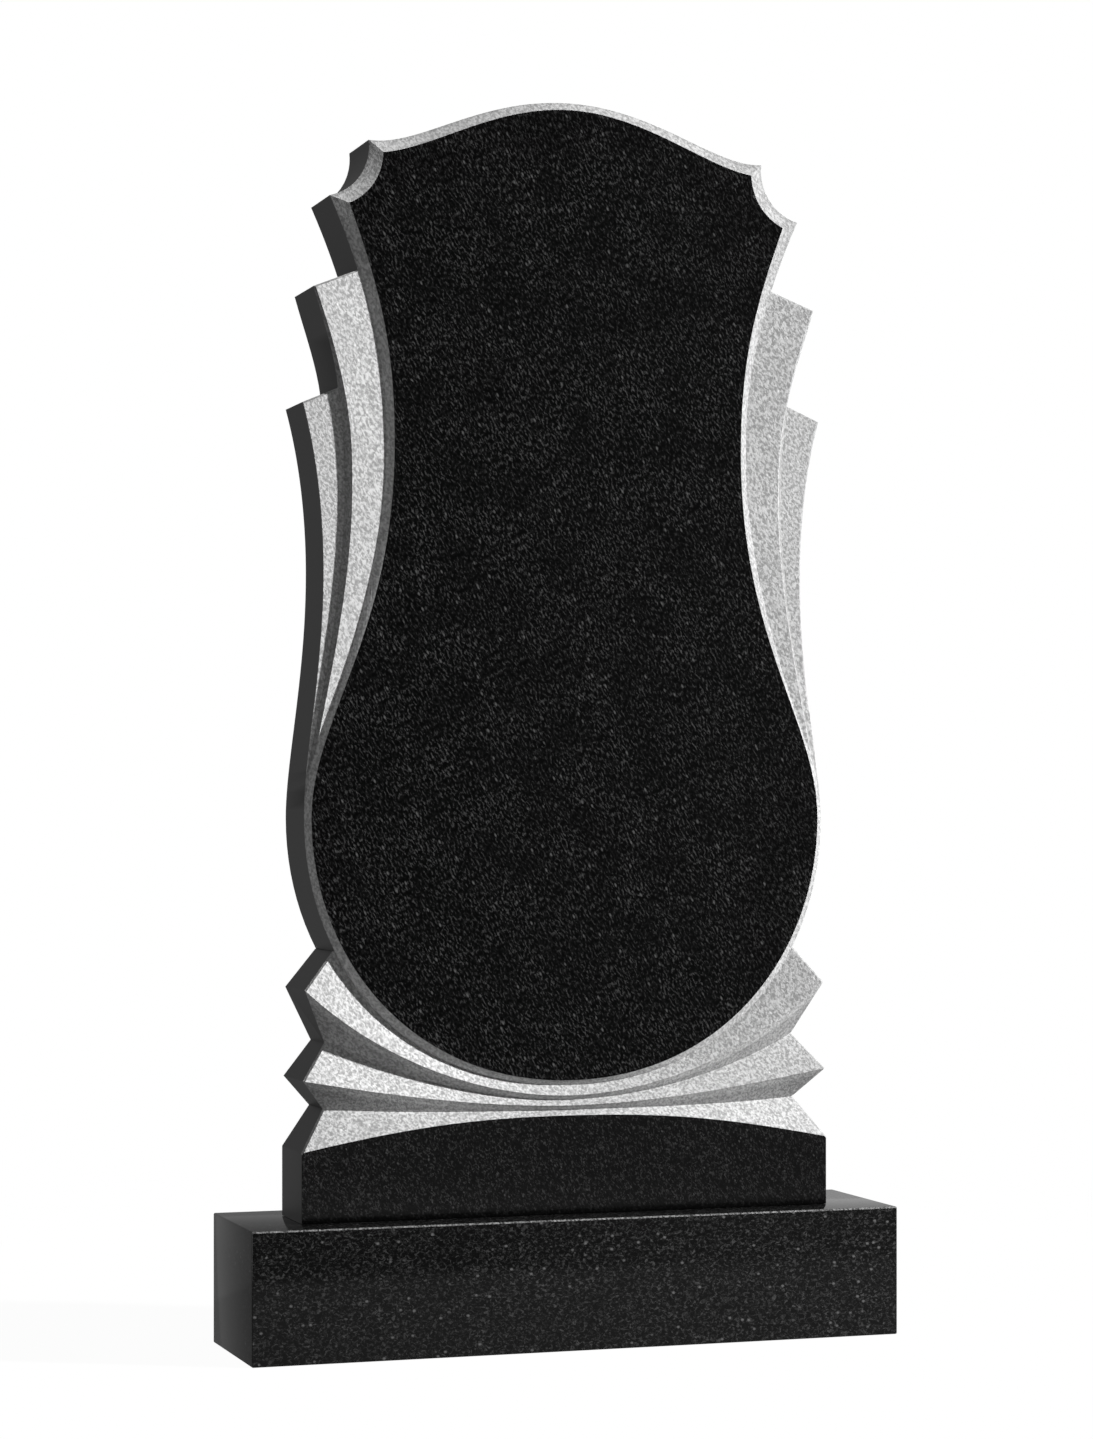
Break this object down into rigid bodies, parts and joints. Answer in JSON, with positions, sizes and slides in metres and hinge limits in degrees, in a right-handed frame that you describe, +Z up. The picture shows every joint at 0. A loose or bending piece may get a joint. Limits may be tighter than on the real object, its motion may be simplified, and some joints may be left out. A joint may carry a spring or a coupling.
{
  "type": "headstone",
  "caption": "Upright carved granite headstone: a shaped slab with a polished blank panel, stepped wings and folds, standing on a low plinth.",
  "frame": {"origin": "middle of the plinth's underside", "axes": "+Z up, -Y towards the reader of the stone, +X to the reader's right"},
  "size_m": [0.606, 0.15, 1.1173],
  "materials": {
    "carved_granite": "black granite, polished panel, base band, edges and back, and light grey tooled carving",
    "polished_granite": "black granite, polished, with fine grey flecks"
  },
  "bodies": {
    "root": {"stele": "carved_granite", "plinth": "polished_granite"}
  },
  "joints": []
}
